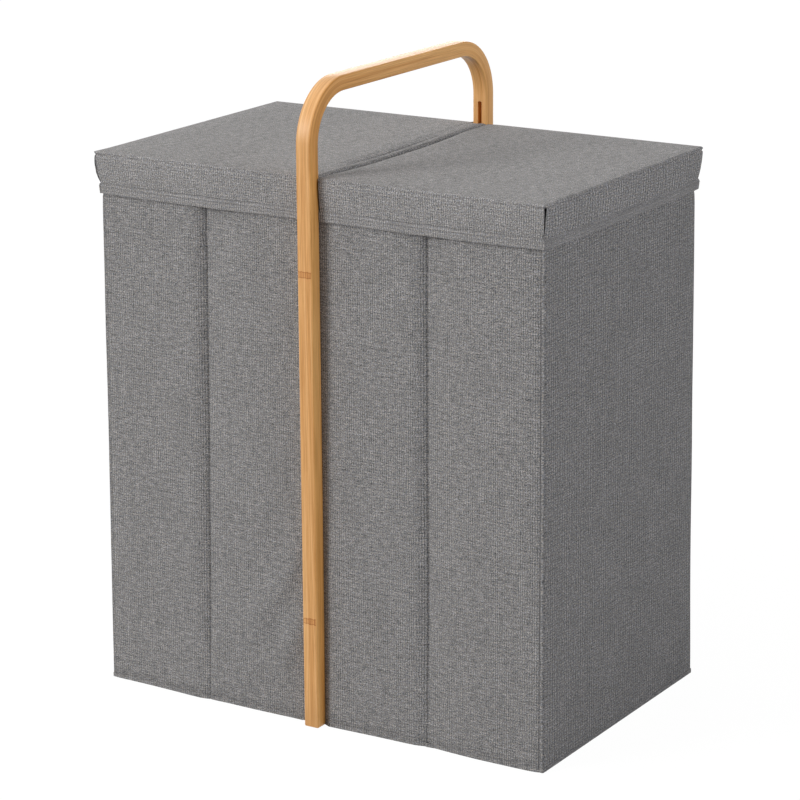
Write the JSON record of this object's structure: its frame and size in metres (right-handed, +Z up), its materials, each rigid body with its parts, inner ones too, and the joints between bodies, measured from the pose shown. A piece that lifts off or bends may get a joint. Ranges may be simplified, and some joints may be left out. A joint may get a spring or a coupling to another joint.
{
  "type": "laundry hamper",
  "caption": "Laundry hamper with paired bins: folding cloth-covered board walls, hinged lids with skirts, and a bent bamboo arch that serves as legs and carrying handle.",
  "frame": {"origin": "middle of the footprint, on the floor", "axes": "+Z up; +X along the front towards the right bin; +Y from the front to the back"},
  "size_m": [0.5432, 0.366, 0.6844],
  "materials": {
    "grey_cloth": "heathered mid-grey linen-look weave, matt",
    "hem": "heathered mid-grey linen-look weave, hemmed and top-stitched",
    "bottom_cloth": "dark non-woven cloth, matt",
    "board": "plain pressed fibreboard, matt",
    "bamboo": "laminated bamboo with lengthwise grain, satin lacquer",
    "edging": "dark woven edging, matt"
  },
  "bodies": {
    "root": {"bamboo_arch": "bamboo", "front_edging_strip": "edging", "back_edging_strip": "edging", "front_groove_stop": "edging", "back_groove_stop": "edging", "centre_strip": "grey_cloth", "bottom_cloth": "bottom_cloth", "left_base_board": "board", "right_base_board": "board", "left_centre_wall_cover": "grey_cloth", "left_centre_wall_board": "board", "right_centre_wall_cover": "grey_cloth", "right_centre_wall_board": "board"},
    "left_lid": {"left_lid_cover": "grey_cloth", "left_lid_board": "board", "left_lid_front_skirt_cover": "grey_cloth", "left_lid_front_skirt_stiffener": "board", "left_lid_side_skirt_cover": "grey_cloth", "left_lid_side_skirt_stiffener": "board", "left_lid_back_skirt_cover": "grey_cloth", "left_lid_back_skirt_stiffener": "board", "left_lid_hem": "hem"},
    "left_front_inner_wall": {"left_front_inner_wall_cover": "grey_cloth", "left_front_inner_wall_board": "board"},
    "left_front_outer_wall": {"left_front_outer_wall_cover": "grey_cloth", "left_front_outer_wall_board": "board"},
    "left_side_wall": {"left_side_wall_cover": "grey_cloth", "left_side_wall_board": "board"},
    "left_back_inner_wall": {"left_back_inner_wall_cover": "grey_cloth", "left_back_inner_wall_board": "board"},
    "left_back_outer_wall": {"left_back_outer_wall_cover": "grey_cloth", "left_back_outer_wall_board": "board"},
    "right_lid": {"right_lid_cover": "grey_cloth", "right_lid_board": "board", "right_lid_front_skirt_cover": "grey_cloth", "right_lid_front_skirt_stiffener": "board", "right_lid_side_skirt_cover": "grey_cloth", "right_lid_side_skirt_stiffener": "board", "right_lid_back_skirt_cover": "grey_cloth", "right_lid_back_skirt_stiffener": "board", "right_lid_hem": "hem"},
    "right_front_inner_wall": {"right_front_inner_wall_cover": "grey_cloth", "right_front_inner_wall_board": "board"},
    "right_front_outer_wall": {"right_front_outer_wall_cover": "grey_cloth", "right_front_outer_wall_board": "board"},
    "right_side_wall": {"right_side_wall_cover": "grey_cloth", "right_side_wall_board": "board"},
    "right_back_inner_wall": {"right_back_inner_wall_cover": "grey_cloth", "right_back_inner_wall_board": "board"},
    "right_back_outer_wall": {"right_back_outer_wall_cover": "grey_cloth", "right_back_outer_wall_board": "board"}
  },
  "joints": [
    {"name": "left_lid_hinge", "type": "hinge", "parent": "root", "child": "left_lid", "pos_m": [-0.009, 0, 0.586], "axis": [0, 1, 0], "range_deg": [0, 88]},
    {"name": "left_wall_fold", "type": "hinge", "parent": "root", "child": "left_front_inner_wall", "pos_m": [-0.00515, -0.1615, 0.293], "axis": [0, 0, -1], "range_deg": [0, 80]},
    {"name": "left_front_crease", "type": "hinge", "parent": "left_front_inner_wall", "child": "left_front_outer_wall", "pos_m": [-0.13407, -0.1665, 0.293], "axis": [0, 0, 1], "range_deg": [0, 160]},
    {"name": "left_front_corner", "type": "hinge", "parent": "left_front_outer_wall", "child": "left_side_wall", "pos_m": [-0.263, -0.1615, 0.293], "axis": [0, 0, -1], "range_deg": [0, 80]},
    {"name": "left_back_centre", "type": "hinge", "parent": "root", "child": "left_back_inner_wall", "pos_m": [-0.00515, 0.1615, 0.293], "axis": [0, 0, 1], "range_deg": [0, 80]},
    {"name": "left_back_crease", "type": "hinge", "parent": "left_back_inner_wall", "child": "left_back_outer_wall", "pos_m": [-0.13407, 0.1665, 0.293], "axis": [0, 0, -1], "range_deg": [0, 160]},
    {"name": "right_lid_hinge", "type": "hinge", "parent": "root", "child": "right_lid", "pos_m": [0.009, 0, 0.586], "axis": [0, -1, 0], "range_deg": [0, 88]},
    {"name": "right_wall_fold", "type": "hinge", "parent": "root", "child": "right_front_inner_wall", "pos_m": [0.00515, -0.1615, 0.293], "axis": [0, 0, 1], "range_deg": [0, 80]},
    {"name": "right_front_crease", "type": "hinge", "parent": "right_front_inner_wall", "child": "right_front_outer_wall", "pos_m": [0.13407, -0.1665, 0.293], "axis": [0, 0, -1], "range_deg": [0, 160]},
    {"name": "right_front_corner", "type": "hinge", "parent": "right_front_outer_wall", "child": "right_side_wall", "pos_m": [0.263, -0.1615, 0.293], "axis": [0, 0, 1], "range_deg": [0, 80]},
    {"name": "right_back_centre", "type": "hinge", "parent": "root", "child": "right_back_inner_wall", "pos_m": [0.00515, 0.1615, 0.293], "axis": [0, 0, -1], "range_deg": [0, 80]},
    {"name": "right_back_crease", "type": "hinge", "parent": "right_back_inner_wall", "child": "right_back_outer_wall", "pos_m": [0.13407, 0.1665, 0.293], "axis": [0, 0, 1], "range_deg": [0, 160]}
  ],
  "couplings": [
    {"joint": "left_front_crease", "follows": "left_wall_fold", "ratio": 2},
    {"joint": "left_front_corner", "follows": "left_wall_fold", "ratio": 1},
    {"joint": "left_back_centre", "follows": "left_wall_fold", "ratio": 1},
    {"joint": "left_back_crease", "follows": "left_wall_fold", "ratio": 2},
    {"joint": "right_front_crease", "follows": "right_wall_fold", "ratio": 2},
    {"joint": "right_front_corner", "follows": "right_wall_fold", "ratio": 1},
    {"joint": "right_back_centre", "follows": "right_wall_fold", "ratio": 1},
    {"joint": "right_back_crease", "follows": "right_wall_fold", "ratio": 2}
  ]
}
